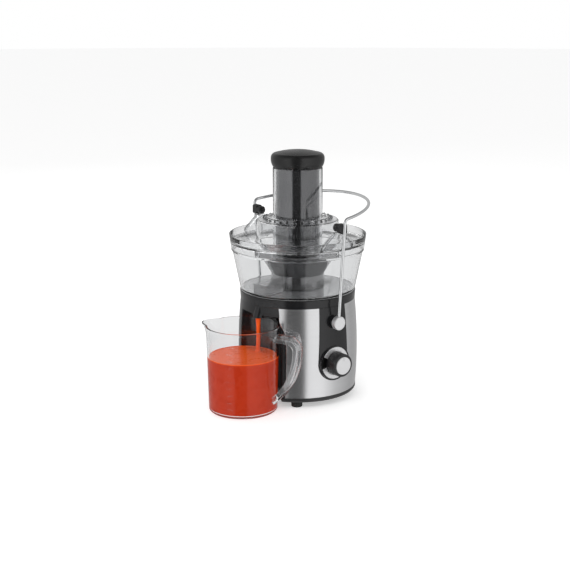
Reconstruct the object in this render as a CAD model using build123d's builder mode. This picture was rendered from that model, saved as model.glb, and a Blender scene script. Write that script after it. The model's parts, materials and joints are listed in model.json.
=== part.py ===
from build123d import *
from math import cos, radians, sin
import os

# Centrifugal juicer, standing on a table at z = 0. The rotor turns about the Z axis, the knob
# and the front pivot of the locking bail face -Y, the bail's loop lies and swings towards +X,
# and the juice spout and its jug are near -X. All lengths are in millimetres.

# Heights of the main joints between casings
foot_height = 10
skirt_top = 17
recess_top = 149
deck_bottom = 163
deck_top = 177
bowl_floor = 180
bowl_top = 245
lid_rim_top = 268
plateau_top = 291
tube_top = 374
cap_top = 402

# Barrel-shaped motor body
bottom_radius = 95.2
waist_radius = 97.6
waist_height = 79
shoulder_radius = 93.2
wall = 3
steel_thickness = 1.2
panel_proud = 0.8

# Clearances: a running fit, a pressed-on part, a glued or clipped joint, and a free gap between bodies
running = 0.05
pressed = 0.02
slip = 0.15
free_gap = 0.5

# Rotor, basket and collector
shaft_radius = 4
basket_bottom_radius = 39.4
basket_top_radius = 55.2
basket_bottom = 201
disc_top = 206
basket_top = 234
collector_low_radius = 43
collector_top_radius = 59.5
collector_top = 230

# Feed tube and pusher
tube_radius = 40
tube_wall = 2.5
tube_bottom = 212
pusher_radius = 35.5
pusher_bottom = 236

# Locking bail
pivot_height = 139
pivot_face = 102.5
leg_foot = 107
leg_top = 121
bend_height = 306
loop_tilt = 8
loop_inward = 7
wire_radius = 2.5
bend_radius = 8
roller_height = 291
roller_radius = 6.5
roller_centre = 103

# Speed knob
knob_height = 72
dial_radius = 26
dial_face = 100
knob_radius = 18.5

# Juice jug, and the slanted nozzle that fills it
spout_angle = 190
jug_distance = 127
recess_radius = 61
jug_bottom_radius = 54.5
jug_top_radius = 57.3
jug_height = 138
jug_wall = 2.2
jug_floor = 3.5
handle_angle = -60
lip_angle = 120
nozzle_top_distance = 78
nozzle_foot_distance = 91
nozzle_foot = 144
nozzle_bore = 7
nozzle_wall = 2

# Motor, and its levels from the bottom up
stator_radius = 52
stator_bore = 24
post_distance = 46
mount_distance = 38
mount_angle = 45
lower_hub_bottom = 35
lower_bearing_bottom = 37
lower_bracket_bottom = 40
lower_bracket_top = 44
commutator_bottom = 54
brush_height = 62
windings_bottom = 74
core_bottom = 84
core_top = 120
windings_top = 129
fan_bottom = 131
upper_bearing_bottom = 142
upper_bracket_bottom = 146
upper_bearing_top = 149
upper_bracket_top = 150

# Cuts run past the solid by this much, and cuts across the front casings span these two distances
beyond = 5
casing_inside = 80
casing_outside = 105

spout = Vector(cos(radians(spout_angle)), sin(radians(spout_angle)), 0)
across_spout = Vector(-spout.Y, spout.X, 0)
jug_centre = spout * jug_distance
front_at_knob = Plane(origin=(0, 0, knob_height), x_dir=(1, 0, 0), z_dir=(0, -1, 0))
front_at_pivot = Plane(origin=(0, 0, pivot_height), x_dir=(1, 0, 0), z_dir=(0, -1, 0))


def outline(*points):
    """A closed face of straight sides in the XZ plane, from (radius, height) points."""
    with BuildSketch(Plane.XZ) as section:
        with BuildLine():
            Polyline(*points, close=True)
        make_face()
    return section.sketch


def barrel(inset):
    """Half section of the barrel-shaped motor body, with its curved side moved in by inset."""
    with BuildSketch(Plane.XZ) as section:
        with BuildLine():
            side = ThreePointArc(
                (shoulder_radius - inset, deck_bottom),
                (waist_radius - inset, waist_height),
                (bottom_radius - inset, skirt_top),
            )
            Polyline(side @ 1, (0, skirt_top), (0, deck_bottom), side @ 0)
        make_face()
    return section.sketch


def round_bar(plane, radius, start, end, mode=Mode.ADD):
    """A round bar along the plane's normal, between two distances from the plane."""
    with BuildSketch(plane.offset(start)) as section:
        Circle(radius)
    extrude(section.sketch, amount=end - start, mode=mode)


def ring_of_bars(radius, distance, count, first_angle, start, end, mode=Mode.ADD):
    """Equal upright bars around the rotor axis, between two heights."""
    with BuildSketch(Plane.XY.offset(start)) as section:
        with PolarLocations(distance, count, start_angle=first_angle):
            Circle(radius)
    extrude(section.sketch, amount=end - start, mode=mode)


def jug_cylinder(radius, start, end, mode=Mode.ADD):
    """An upright cylinder about the jug's axis."""
    round_bar(Plane(origin=jug_centre), radius, start, end, mode)


# The nozzle's bore leans outward from under the bowl to a point above the jug.
nozzle_head = spout * nozzle_top_distance + Vector(0, 0, bowl_floor)
nozzle_mouth = spout * nozzle_foot_distance + Vector(0, 0, nozzle_foot)
nozzle_plane = Plane(origin=nozzle_head, z_dir=nozzle_mouth - nozzle_head)
nozzle_length = (nozzle_mouth - nozzle_head).length
nozzle_hole = nozzle_bore + nozzle_wall + slip


def nozzle_bar(radius, before, after, mode=Mode.ADD):
    """A bar along the nozzle's axis, longer than it by before and after."""
    round_bar(nozzle_plane, radius, -before, nozzle_length + after, mode)


# Front view outlines: the steel plate, and the black panel that hangs down its middle
plate_top_half = 77
plate_low_half = 72
curve_top = 145
curve_bottom = 115
panel_top_half = 25
panel_low_half = 29

with BuildSketch(Plane.XZ) as plate_outline:
    with BuildLine():
        for side in (-1, 1):
            middle = (side * (plate_top_half + plate_low_half) / 2, (curve_top + curve_bottom) / 2)
            Line((side * plate_top_half, deck_bottom), (side * plate_top_half, curve_top))
            TangentArc((side * plate_top_half, curve_top), middle, tangent=(0, -1))
            TangentArc((side * plate_low_half, curve_bottom), middle, tangent=(0, 1))
            Line((side * plate_low_half, curve_bottom), (side * plate_low_half, skirt_top))
        Line((-plate_top_half, deck_bottom), (plate_top_half, deck_bottom))
        Line((-plate_low_half, skirt_top), (plate_low_half, skirt_top))
    make_face()

with BuildSketch(Plane.XZ) as panel_outline:
    with BuildLine():
        Polyline(
            (-panel_low_half, knob_height),
            (-panel_top_half, deck_bottom),
            (panel_top_half, deck_bottom),
            (panel_low_half, knob_height),
        )
        ThreePointArc(
            (panel_low_half, knob_height),
            (0, knob_height - panel_low_half),
            (-panel_low_half, knob_height),
        )
    make_face()

with BuildSketch(Plane.XZ) as panel_opening:
    add(panel_outline.sketch)
    offset(amount=slip)

# Base housing: an open barrel cut away for the jug's bay, with bosses for the bail's pivots and
# for the base plate's screws, and a pocket that the steel plate and the panel lie in
screw_distance = 87
screw_count = 3
screw_angle = 22
screw_boss_radius = 5
screw_boss_top = 34
screw_hole_radius = 1.95
boss_radius = 9.5
boss_inside = 84
bush_radius = 6
shaft_hole_radius = 5.2
inlet_radius = 8
inlet_plane = Plane(origin=(0, 0, 34), z_dir=(0, 1, 0))

with BuildPart() as front_pocket:
    revolve(barrel(-2), axis=Axis.Z)
    revolve(barrel(steel_thickness + slip), axis=Axis.Z, mode=Mode.SUBTRACT)
    extrude(offset(plate_outline.sketch, amount=slip), amount=waist_radius + beyond, mode=Mode.INTERSECT)

with BuildPart() as base_housing:
    revolve(barrel(0), axis=Axis.Z)
    add(front_pocket.part, mode=Mode.SUBTRACT)
    revolve(barrel(wall + steel_thickness), axis=Axis.Z, mode=Mode.SUBTRACT)
    jug_cylinder(recess_radius + wall + slip, 0, recess_top + wall + slip, Mode.SUBTRACT)
    ring_of_bars(screw_boss_radius, screw_distance, screw_count, screw_angle, skirt_top, screw_boss_top)
    round_bar(front_at_pivot, boss_radius, boss_inside, pivot_face)
    round_bar(front_at_pivot, boss_radius, -pivot_face, -boss_inside)
    round_bar(front_at_pivot, bush_radius + slip, -pivot_face - 1, pivot_face + 1, Mode.SUBTRACT)
    round_bar(front_at_knob, shaft_hole_radius, casing_inside, casing_outside, Mode.SUBTRACT)
    ring_of_bars(
        screw_hole_radius,
        screw_distance,
        screw_count,
        screw_angle,
        skirt_top,
        screw_boss_top - 2,
        Mode.SUBTRACT,
    )
    nozzle_bar(nozzle_hole, beyond, beyond, Mode.SUBTRACT)
    round_bar(inlet_plane, inlet_radius + 0.2, casing_inside, casing_outside, Mode.SUBTRACT)

# Jug bay: the curved back wall and the roof of the hollow that the jug stands in
with BuildPart() as jug_bay:
    revolve(barrel(0), axis=Axis.Z)
    jug_cylinder(recess_radius + wall, 0, recess_top + wall, Mode.INTERSECT)
    jug_cylinder(recess_radius, 0, recess_top, Mode.SUBTRACT)
    add(front_pocket.part, mode=Mode.SUBTRACT)
    nozzle_bar(nozzle_hole, beyond, beyond, Mode.SUBTRACT)

with BuildPart() as steel_front_plate:
    revolve(barrel(0), axis=Axis.Z)
    revolve(barrel(steel_thickness), axis=Axis.Z, mode=Mode.SUBTRACT)
    extrude(plate_outline.sketch, amount=waist_radius + beyond, mode=Mode.INTERSECT)
    extrude(panel_opening.sketch, amount=waist_radius + beyond, mode=Mode.SUBTRACT)

# Black panel, slightly proud of the steel, with a flat bezel around the dial
bezel_radius = panel_low_half - 0.5
bezel_back = 85
bezel_face = dial_face - 0.6
with BuildPart() as dial_bezel:
    round_bar(front_at_knob, bezel_radius, bezel_back, bezel_face)
    revolve(barrel(steel_thickness + 0.01), axis=Axis.Z, mode=Mode.SUBTRACT)

with BuildPart() as control_panel:
    revolve(barrel(-panel_proud), axis=Axis.Z)
    revolve(barrel(steel_thickness), axis=Axis.Z, mode=Mode.SUBTRACT)
    extrude(panel_outline.sketch, amount=waist_radius + beyond, mode=Mode.INTERSECT)
    add(dial_bezel.part)
    round_bar(front_at_knob, dial_radius + slip, casing_inside, casing_outside, Mode.SUBTRACT)
    round_bar(front_at_pivot, boss_radius + slip, casing_inside, casing_outside, Mode.SUBTRACT)

# Dial: a silver ring with a narrow channel that sets it off from the knob
dial_back = waist_radius - steel_thickness
with BuildPart() as dial_ring:
    round_bar(front_at_knob, dial_radius, dial_back, dial_face)
    round_bar(front_at_knob, shaft_hole_radius + 0.1, dial_back - 1, dial_face + 1, Mode.SUBTRACT)
    round_bar(front_at_knob, knob_radius + 1, dial_face - 1, dial_face, Mode.SUBTRACT)
    chamfer(dial_ring.edges().filter_by(GeomType.CIRCLE).sort_by(SortBy.RADIUS)[-1], length=0.6)

# Top deck: the black band under the bowl, with a hub for the shaft seal
seal_radius = 8
hub_radius = 14
hub_bottom = 172
hub_top = 179.6
deck_underside = 173
deck_inner_radius = 89.5
deck_boss_bottom = 157
mount_radius = 7
mount_screw_radius = 2
mount_screw_tip = 170
seal_shoulder = 178.5
seal_lip_top = 180.5

with BuildPart() as top_deck:
    revolve(
        outline(
            (seal_radius + slip, hub_bottom),
            (hub_radius, hub_bottom),
            (hub_radius, deck_underside),
            (deck_inner_radius, deck_underside),
            (deck_inner_radius, deck_bottom),
            (shoulder_radius + 0.2, deck_bottom),
            (shoulder_radius + 1, deck_top - 1.5),
            (shoulder_radius - 0.5, deck_top),
            (hub_radius, deck_top),
            (hub_radius, hub_top),
            (seal_radius + slip, hub_top),
        ),
        axis=Axis.Z,
    )
    ring_of_bars(mount_radius, mount_distance, 4, mount_angle, deck_boss_bottom, deck_underside + 1)
    ring_of_bars(
        mount_screw_radius + 0.1,
        mount_distance,
        4,
        mount_angle,
        deck_boss_bottom,
        mount_screw_tip + 1,
        Mode.SUBTRACT,
    )
    nozzle_bar(nozzle_hole, beyond, beyond, Mode.SUBTRACT)

with BuildPart() as shaft_seal:
    revolve(
        outline(
            (shaft_radius + running, deck_underside),
            (seal_radius, deck_underside),
            (seal_radius, seal_shoulder),
            (shaft_radius + running, seal_lip_top),
        ),
        axis=Axis.Z,
    )

# Base plate: a shallow tray that closes the housing, with slots that let the motor's air out
slot_count = 9
slot_pitch = 6
slot_length = 56
slot_width = 3
plate_radius = bottom_radius + 0.3
plate_inner_radius = bottom_radius - 3.2
screw_radius = 1.8
screw_head_radius = 4
screw_head_top = 12.1
with BuildPart() as base_plate:
    revolve(
        outline(
            (0, foot_height),
            (plate_inner_radius + 1, foot_height),
            (plate_radius, foot_height + wall),
            (plate_radius, skirt_top - slip),
            (plate_inner_radius, skirt_top - slip),
            (plate_inner_radius, foot_height + wall),
            (0, foot_height + wall),
        ),
        axis=Axis.Z,
    )
    jug_cylinder(recess_radius, 0, skirt_top + 1, Mode.SUBTRACT)
    for radius, top in (
        (screw_head_radius + 0.3, screw_head_top + 0.1),
        (screw_radius + 0.3, foot_height + 4),
    ):
        ring_of_bars(radius, screw_distance, screw_count, screw_angle, foot_height, top, Mode.SUBTRACT)
    with BuildSketch(Plane.XY.offset(foot_height)):
        with GridLocations(slot_pitch, 0, slot_count, 1):
            SlotOverall(slot_length, slot_width, rotation=90)
    extrude(amount=wall, mode=Mode.SUBTRACT)

# Four rubber feet, a ring of flat discs with rounded lower edges
foot_radius = 9
foot_distance = 80
foot_angle = 52
with BuildPart() as rubber_feet:
    ring_of_bars(foot_radius, foot_distance, 4, foot_angle, 0, foot_height)
    chamfer(rubber_feet.edges().group_by(Axis.Z)[0], length=1)

with BuildPart() as base_plate_screws:
    ring_of_bars(screw_head_radius, screw_distance, screw_count, screw_angle, foot_height + 0.2, screw_head_top)
    ring_of_bars(screw_radius, screw_distance, screw_count, screw_angle, screw_head_top - 0.1, screw_boss_top - 4)

# Cord inlet: a tapered gland low on the back of the housing, with a bore for the mains lead
gland_radius = 11
gland_tip_radius = 7
cord_hole_radius = 3.6
inlet_inside = 90
gland_start = 97.5
gland_end = 107
with BuildPart() as cord_inlet:
    round_bar(inlet_plane, inlet_radius, inlet_inside, gland_start)
    with BuildSketch(inlet_plane.offset(gland_start)):
        Circle(gland_radius)
    with BuildSketch(inlet_plane.offset(gland_end)):
        Circle(gland_tip_radius)
    loft()
    round_bar(inlet_plane, cord_hole_radius, inlet_inside - 1, gland_end + 1, Mode.SUBTRACT)

# Nozzle between the bowl and the jug, cut level at both ends
with BuildPart() as spout_nozzle:
    nozzle_bar(nozzle_bore + nozzle_wall, 8, 8)
    nozzle_bar(nozzle_bore, 9, 9, Mode.SUBTRACT)
    split(bisect_by=Plane.XY.offset(deck_top), keep=Keep.BOTTOM)
    split(bisect_by=Plane.XY.offset(nozzle_foot), keep=Keep.TOP)

# Clear pulp bowl: a flaring wall, a flat floor and a turned-out lip that carries the lid
bowl_wall = 2.4
bowl_bottom_radius = 93.6
bowl_top_radius = 105.8
bowl_bottom = deck_top + 0.1

with BuildPart() as pulp_bowl:
    revolve(
        outline(
            (hub_radius + 1.5, bowl_bottom),
            (bowl_bottom_radius - 2, bowl_bottom),
            (bowl_bottom_radius, bowl_bottom + 3),
            (bowl_top_radius, bowl_top - 4),
            (bowl_top_radius + 2, bowl_top - 3),
            (bowl_top_radius + 2, bowl_top),
            (bowl_top_radius - bowl_wall, bowl_top),
            (bowl_bottom_radius - bowl_wall, bowl_floor + 1),
            (bowl_bottom_radius - bowl_wall - 2, bowl_floor),
            (hub_radius + 1.5, bowl_floor),
        ),
        axis=Axis.Z,
    )
    nozzle_bar(nozzle_bore + 0.2, 6, 6, Mode.SUBTRACT)

# Juice collector: a funnel around the basket, with a chimney around the drive and a closed
# channel that leads the juice outward to the nozzle
channel_plane = Plane(origin=spout * 38, x_dir=across_spout, z_dir=spout)
channel_length = 49.5
channel_width = 26
channel_top = 196
collector_floor = bowl_floor + 0.1
shell = 2

with BuildPart() as juice_collector:
    revolve(
        outline(
            (13, collector_floor),
            (collector_low_radius, collector_floor),
            (collector_low_radius, 203),
            (collector_top_radius, collector_top),
            (collector_top_radius - shell, collector_top),
            (collector_low_radius - shell, 203.6),
            (collector_low_radius - shell, collector_floor + shell),
            (15, collector_floor + shell),
            (15, 196),
            (13, 196),
        ),
        axis=Axis.Z,
    )
    with BuildSketch(channel_plane):
        with Locations((0, (collector_floor + channel_top) / 2)):
            Rectangle(channel_width, channel_top - collector_floor)
    extrude(amount=channel_length)
    with BuildSketch(channel_plane.offset(-2)):
        with Locations((0, (collector_floor + channel_top) / 2)):
            Rectangle(channel_width - 2 * shell, channel_top - collector_floor - 2 * shell)
    extrude(amount=channel_length, mode=Mode.SUBTRACT)
    revolve(
        outline(
            (15, collector_floor + shell),
            (collector_low_radius - shell, collector_floor + shell),
            (collector_low_radius - shell, 200),
            (15, 200),
        ),
        axis=Axis.Z,
        mode=Mode.SUBTRACT,
    )
    nozzle_bar(nozzle_bore + 0.2, 4, 6, Mode.SUBTRACT)

# Lid: a clear moulding with a skirt, a dished ring and a raised plateau, with a ring of beads
# and a stepped collar around the feed tube, two arched lugs for the bail's rollers and two
# locking tabs
bead_count = 30
lug_half = 4
lug_crest = roller_height - roller_radius - free_gap
lug_thickness = 2.2
collar_radius = 51
collar_top = plateau_top + 4

with BuildSketch(Plane.XZ) as lug_outline:
    with BuildLine():
        Polyline(
            (-33, 256),
            (-33, 263),
            (-7, lug_crest),
            (6, lug_crest),
            (28, 264),
            (28, 256),
            close=True,
        )
    make_face()

with BuildSketch(Plane.XZ) as lug_web:
    add(lug_outline.sketch)
    offset(amount=-lug_thickness, mode=Mode.REPLACE)

with BuildPart() as lid_lugs:
    for middle in (-roller_centre, roller_centre):
        edge = Plane.XZ.offset(-middle - lug_half)
        extrude(edge * lug_outline.sketch_local, amount=2 * lug_half)
        extrude(edge * lug_web.sketch_local, amount=2.6, mode=Mode.SUBTRACT)
        extrude(edge.offset(5.4) * lug_web.sketch_local, amount=2.7, mode=Mode.SUBTRACT)
    round_bar(Plane.XY, 110, 250, 300, Mode.INTERSECT)

with BuildPart() as lid:
    revolve(
        outline(
            (bowl_top_radius - 1, bowl_top + 0.1),
            (108, bowl_top + 0.1),
            (111, lid_rim_top),
            (108.8, lid_rim_top),
            (105.5, 257),
            (67.5, 255.5),
            (66, plateau_top - 2),
            (64, plateau_top),
            (collar_radius, plateau_top + 1),
            (collar_radius, collar_top - 1),
            (collar_radius - 1, collar_top),
            (collar_radius - 5, collar_top),
            (collar_radius - 6, collar_top - 1),
            (tube_radius + slip, collar_top - 1),
            (tube_radius + slip, plateau_top - 1.4),
            (63.6, plateau_top - 2.4),
            (65, 253.2),
            (106, 254.6),
        ),
        axis=Axis.Z,
    )
    add(lid_lugs.part)
    ring_of_bars(2.2, 54.5, bead_count, 0, plateau_top - 1, plateau_top + 3)
    with BuildSketch(Plane.XY.offset(bowl_top + 1)):
        with PolarLocations(109.2, 1, start_angle=-90):
            Rectangle(5, 7)
        with PolarLocations(109.2, 1, start_angle=spout_angle + 8):
            Rectangle(5, 9)
    extrude(amount=9)

# Feed tube: a plain tube, bonded into the collar on the lid's plateau
with BuildPart() as feed_tube:
    round_bar(Plane.XY, tube_radius, tube_bottom, tube_top)
    round_bar(Plane.XY, tube_radius - tube_wall, tube_bottom, tube_top, Mode.SUBTRACT)

# Basket: drive hub, bottom plate and top flange in one frame, with the filter cone between
basket_wall = 1
with BuildPart() as basket_frame:
    revolve(
        outline(
            (10, 184),
            (12, 184),
            (12, basket_bottom),
            (16.5, basket_bottom),
            (16.5, 190),
            (18.5, 190),
            (18.5, basket_bottom),
            (basket_bottom_radius, basket_bottom),
            (basket_bottom_radius, basket_bottom + 3),
            (0, basket_bottom + 3),
            (0, 199),
            (10, 199),
        ),
        axis=Axis.Z,
    )
    revolve(
        outline(
            (basket_top_radius - 2, basket_top),
            (66, basket_top),
            (66, basket_top - 3),
            (68, basket_top - 3),
            (68, basket_top + 3),
            (basket_top_radius - 2, basket_top + 3),
        ),
        axis=Axis.Z,
    )

with BuildPart() as filter_mesh:
    revolve(
        outline(
            (basket_bottom_radius - basket_wall, basket_bottom + 3),
            (basket_bottom_radius, basket_bottom + 3),
            (basket_top_radius, basket_top),
            (basket_top_radius - basket_wall, basket_top),
        ),
        axis=Axis.Z,
    )

# Grating disc with rings of small raised teeth
disc_radius = 36
with BuildPart() as grater_disc:
    round_bar(Plane.XY, disc_radius, basket_bottom + 3, disc_top)
    for row, distance in enumerate((12, 19, 26, 33)):
        with BuildSketch(Plane.XY.offset(disc_top)):
            with PolarLocations(distance, 8 + 6 * row, start_angle=11 * row):
                Rectangle(1, 3)
        extrude(amount=1)

with BuildPart() as drive_coupling:
    with BuildSketch(Plane.XY.offset(184.5)):
        Circle(8)
        with PolarLocations(7.6, 6):
            Circle(2.2)
        Circle(shaft_radius + pressed, mode=Mode.SUBTRACT)
    extrude(amount=14)

shaft_top = 196
with BuildPart() as motor_shaft:
    round_bar(Plane.XY, shaft_radius, lower_bearing_bottom + 0.5, shaft_top)
    chamfer(motor_shaft.edges().filter_by(GeomType.CIRCLE), length=0.6)

# Motor: slotted armature in a two-pole stator between an upper and a lower bracket
armature_gap = 0.6
armature_radius = stator_bore - armature_gap
armature_slots = 12
slot_depth = 9
winding_radius = 20
with BuildPart() as armature_core:
    with BuildSketch(Plane.XY.offset(core_bottom)):
        Circle(armature_radius)
        with PolarLocations(armature_radius - 4, armature_slots):
            Rectangle(slot_depth, 2.4, mode=Mode.SUBTRACT)
        Circle(shaft_radius + pressed, mode=Mode.SUBTRACT)
    extrude(amount=core_top - core_bottom)

with BuildPart() as armature_windings:
    for start, end in ((windings_bottom, core_bottom), (core_top, windings_top)):
        revolve(
            outline(
                (shaft_radius + 1, start),
                (winding_radius - 3, start),
                (winding_radius, (start + end) / 2),
                (winding_radius, end),
                (shaft_radius + 1, end),
            ),
            axis=Axis.Z,
        )

commutator_radius = 11
with BuildPart() as commutator:
    with BuildSketch(Plane.XY.offset(commutator_bottom)):
        Circle(commutator_radius)
        with PolarLocations(commutator_radius, armature_slots):
            Rectangle(1.6, 0.7, mode=Mode.SUBTRACT)
        Circle(shaft_radius + pressed, mode=Mode.SUBTRACT)
    extrude(amount=17)

fan_radius = 35
fan_hub_radius = 9
fan_height = 7
blade_count = 12
blade_length = 27
blade_thickness = 1.4
with BuildPart() as cooling_fan:
    with BuildSketch(Plane.XY.offset(fan_bottom + fan_height)):
        Circle(fan_radius)
        Circle(shaft_radius + pressed, mode=Mode.SUBTRACT)
    extrude(amount=1.6)
    with BuildSketch(Plane.XY.offset(fan_bottom)):
        Circle(fan_hub_radius)
        with PolarLocations(fan_radius - blade_length / 2 - 0.5, blade_count):
            Rectangle(blade_length, blade_thickness)
        Circle(shaft_radius + pressed, mode=Mode.SUBTRACT)
    extrude(amount=fan_height)

coil_distance = 32
coil_thickness = 8
window_spacing = 49
window_width = 9.4
window_height = 10.4
post_radius = 4.6
post_hole_radius = 2.2
with BuildPart() as stator_core:
    with BuildSketch(Plane.XY.offset(core_bottom)):
        Circle(stator_radius)
        Circle(stator_bore, mode=Mode.SUBTRACT)
        with GridLocations(2 * coil_distance, window_spacing, 2, 2):
            Rectangle(window_width, window_height, mode=Mode.SUBTRACT)
        with PolarLocations(post_distance, 4):
            Circle(post_hole_radius, mode=Mode.SUBTRACT)
    extrude(amount=core_top - core_bottom)

# Field coils: one rectangular winding around each pole, through the stator's windows
with BuildPart() as field_coils:
    for middle in (-coil_distance, coil_distance):
        with BuildSketch(Plane.YZ.offset(middle - coil_thickness / 2)):
            with Locations((0, (core_bottom + core_top) / 2)):
                RectangleRounded(58, 52, 3)
                Rectangle(40, 37, mode=Mode.SUBTRACT)
        extrude(amount=coil_thickness)

bearing_seat_top = 13
bearing_seat_low = 11
bearing_hub_top = 17
bearing_hub_low = 15
vent_radius = 6
vent_distance = 26
vent_count = 8
vent_angle = 22.5
with BuildPart() as upper_motor_bracket:
    round_bar(Plane.XY, stator_radius, upper_bracket_bottom, upper_bracket_top)
    round_bar(Plane.XY, bearing_hub_top, upper_bearing_bottom, upper_bracket_top)
    ring_of_bars(post_radius, post_distance, 4, 0, core_top, upper_bracket_bottom)
    for radius, distance, count, angle, start in (
        (post_hole_radius, post_distance, 4, 0, core_top),
        (mount_screw_radius + 0.3, mount_distance, 4, mount_angle, upper_bracket_bottom),
        (vent_radius, vent_distance, vent_count, vent_angle, upper_bracket_bottom),
    ):
        ring_of_bars(radius, distance, count, angle, start, upper_bracket_top, Mode.SUBTRACT)
    round_bar(Plane.XY, bearing_seat_top, upper_bearing_bottom, upper_bearing_top, Mode.SUBTRACT)
    round_bar(Plane.XY, shaft_radius + 2, upper_bearing_bottom, upper_bracket_top, Mode.SUBTRACT)

with BuildPart() as lower_motor_bracket:
    round_bar(Plane.XY, stator_radius, lower_bracket_bottom, lower_bracket_top)
    round_bar(Plane.XY, bearing_hub_low, lower_hub_bottom, lower_bracket_top)
    ring_of_bars(post_radius, post_distance, 4, 0, lower_bracket_top, core_bottom)
    ring_of_bars(post_hole_radius, post_distance, 4, 0, lower_bracket_bottom, core_bottom, Mode.SUBTRACT)
    ring_of_bars(
        vent_radius,
        vent_distance,
        vent_count,
        vent_angle,
        lower_bracket_bottom,
        lower_bracket_top,
        Mode.SUBTRACT,
    )
    round_bar(Plane.XY, bearing_seat_low, lower_bearing_bottom, lower_bracket_top, Mode.SUBTRACT)

with BuildPart() as upper_bearing:
    round_bar(Plane.XY, bearing_seat_top - pressed, upper_bearing_bottom, upper_bearing_top)
    round_bar(Plane.XY, shaft_radius + running, upper_bearing_bottom, upper_bearing_top, Mode.SUBTRACT)

with BuildPart() as lower_bearing:
    round_bar(Plane.XY, bearing_seat_low - pressed, lower_bearing_bottom, lower_bracket_top)
    round_bar(Plane.XY, shaft_radius + running, lower_bearing_bottom, lower_bracket_top, Mode.SUBTRACT)

motor_screw_radius = 2
motor_screw_head_radius = 3.8
motor_screw_bottom = lower_bracket_bottom - 3.5
with BuildPart() as motor_screws:
    ring_of_bars(motor_screw_radius, post_distance, 4, 0, motor_screw_bottom, upper_bracket_top)
    ring_of_bars(motor_screw_head_radius, post_distance, 4, 0, motor_screw_bottom, lower_bracket_bottom)

with BuildPart() as motor_mounts:
    ring_of_bars(mount_radius, mount_distance, 4, mount_angle, upper_bracket_top, deck_boss_bottom)
    ring_of_bars(
        mount_screw_radius + 0.2,
        mount_distance,
        4,
        mount_angle,
        upper_bracket_top,
        deck_boss_bottom,
        Mode.SUBTRACT,
    )

mount_screw_bottom = upper_bracket_bottom - 3
mount_screw_head_radius = 4
with BuildPart() as mount_screws:
    ring_of_bars(mount_screw_radius, mount_distance, 4, mount_angle, mount_screw_bottom, mount_screw_tip)
    ring_of_bars(
        mount_screw_head_radius, mount_distance, 4, mount_angle, mount_screw_bottom, upper_bracket_bottom
    )

brush_width = 6
brush_thickness = 8
brush_length = 16
with BuildPart() as brush_holders:
    for side in (-1, 1):
        with BuildSketch(Plane.XY.offset(lower_bracket_top)):
            with Locations((0, side * 23)):
                Rectangle(12, 20)
        extrude(amount=24)
    with BuildSketch(Plane(origin=(0, -40, brush_height), z_dir=(0, 1, 0))):
        Rectangle(brush_width + 0.2, brush_thickness + 0.2)
    extrude(amount=80, mode=Mode.SUBTRACT)

with BuildPart() as carbon_brushes:
    for side in (-1, 1):
        start = side * (commutator_radius + 0.3)
        with BuildSketch(Plane(origin=(0, start, brush_height), z_dir=(0, side, 0))):
            Rectangle(brush_width, brush_thickness)
        extrude(amount=brush_length)

switch_back = 74
switch_side = 30
switch_depth = 15
spindle_radius = 3
with BuildPart() as speed_switch:
    with BuildSketch(front_at_knob.offset(switch_back)):
        RectangleRounded(switch_side, switch_side, 3)
    extrude(amount=switch_depth)
    round_bar(front_at_knob, shaft_hole_radius - 0.2, switch_back + switch_depth, dial_face - 1)
    round_bar(front_at_knob, spindle_radius + running, casing_inside, dial_face, Mode.SUBTRACT)

safety_switch_height = 152
safety_switch_inside = 68
safety_switch_depth = 14
with BuildPart() as safety_switch:
    with BuildSketch(Plane(origin=(0, safety_switch_inside, safety_switch_height), z_dir=(0, 1, 0))):
        RectangleRounded(20, 11, 1)
    extrude(amount=safety_switch_depth)

# Bail: spring wire with two legs and a loop, hinged in bushes at the front and the back
bush_inside = 86
bush_face = pivot_face - 0.1
pin_inside = 88
with BuildPart() as pivot_bushes:
    for start, end in ((bush_inside, bush_face), (-bush_face, -bush_inside)):
        round_bar(front_at_pivot, bush_radius, start, end)
        round_bar(front_at_pivot, shaft_radius + running, start, end, Mode.SUBTRACT)

cap_back = pivot_face + free_gap
cap_face = cap_back + 8
pivot_cap_radius = 11
with BuildPart() as pivot_pins:
    round_bar(front_at_pivot, shaft_radius, pin_inside, cap_back)
    round_bar(front_at_pivot, shaft_radius, -cap_back, -pin_inside)

loop_plane = Plane(
    origin=(0, 0, bend_height),
    x_dir=(cos(radians(loop_tilt)), 0, sin(radians(loop_tilt))),
    z_dir=(-sin(radians(loop_tilt)), 0, cos(radians(loop_tilt))),
)
front_foot = Vector(0, -leg_foot, pivot_height + 3)
bend_run = bend_radius * 0.8


def leg_plane(side):
    """A plane at the foot of one leg, square to it; side is -1 at the front, 1 at the back."""
    leg = Vector(0, side * (leg_top - leg_foot), bend_height - front_foot.Z)
    return Plane(origin=(0, side * leg_foot, front_foot.Z), z_dir=leg)


def loop_entry(side):
    """Where the loop starts beyond one leg's bend, and its direction there, which leans inward."""
    inward = radians(loop_inward)
    direction = loop_plane.x_dir * cos(inward) + Vector(0, -side, 0) * sin(inward)
    return Vector(0, side * leg_top, bend_height) + direction * bend_run, direction


def leg_and_bend(side):
    """One leg of the bail, with the bend at its top."""
    foot = leg_plane(side).origin
    rise = leg_plane(side).z_dir
    below = Vector(0, side * leg_top, bend_height) - rise * bend_run
    Line(foot, below)
    TangentArc(below, loop_entry(side)[0], tangent=rise)


with BuildPart() as bail_wire:
    with BuildLine() as bail_path:
        leg_and_bend(-1)
        TangentArc(loop_entry(-1)[0], loop_entry(1)[0], tangent=loop_entry(-1)[1])
        leg_and_bend(1)
    with BuildSketch(leg_plane(-1)):
        Circle(wire_radius)
    sweep(path=bail_path.wires()[0])

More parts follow.
